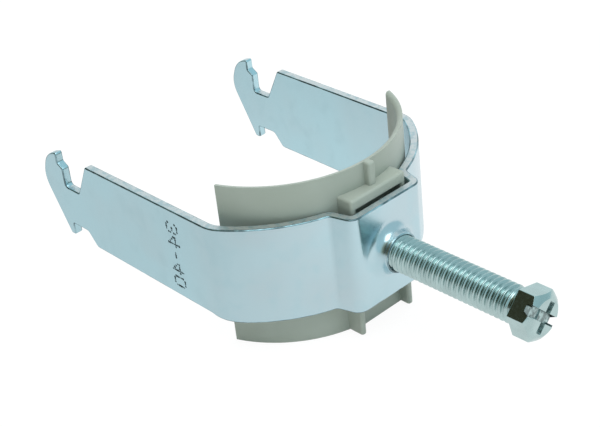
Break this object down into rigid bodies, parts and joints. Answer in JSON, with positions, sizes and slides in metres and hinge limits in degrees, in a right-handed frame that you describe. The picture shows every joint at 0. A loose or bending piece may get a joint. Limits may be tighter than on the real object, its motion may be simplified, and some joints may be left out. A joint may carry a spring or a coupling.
{
  "type": "saddle clip",
  "caption": "Cable saddle clip for channel rail: bent zinc-plated strap with hooked legs, plastic pressure saddle, and a hexagon clamp screw in a drawn collar that presses it onto the cable.",
  "frame": {"origin": "on the axis of the cable seat, in the middle of its length, with the saddle fully drawn back", "axes": "+Z along the cable, +Y from the screw head towards the rail, X across the legs"},
  "size_m": [0.046, 0.0918, 0.0292],
  "materials": {
    "zinc_strap": "bright zinc plate, satin, pale blue tint",
    "grey_plastic": "moulded, matte, warm mid grey",
    "zinc_screw": "bright zinc plate, glossier than the strap"
  },
  "bodies": {
    "strap": {"strap": "zinc_strap"},
    "saddle": {"pressure_saddle": "grey_plastic"},
    "screw": {"clamp_screw": "zinc_screw"}
  },
  "joints": [
    {"name": "saddle_slide", "type": "slide", "parent": "strap", "child": "saddle", "axis": [0, 1, 0], "range_m": [0, 0.023]},
    {"name": "screw_turn", "type": "hinge", "parent": "saddle", "child": "screw", "pos_m": [0, -0.0365, 0], "axis": [0, 1, 0], "range_deg": [0, 8280]}
  ],
  "couplings": [
    {"joint": "screw_turn", "follows": "saddle_slide", "rad_per_m": 6283.2}
  ]
}
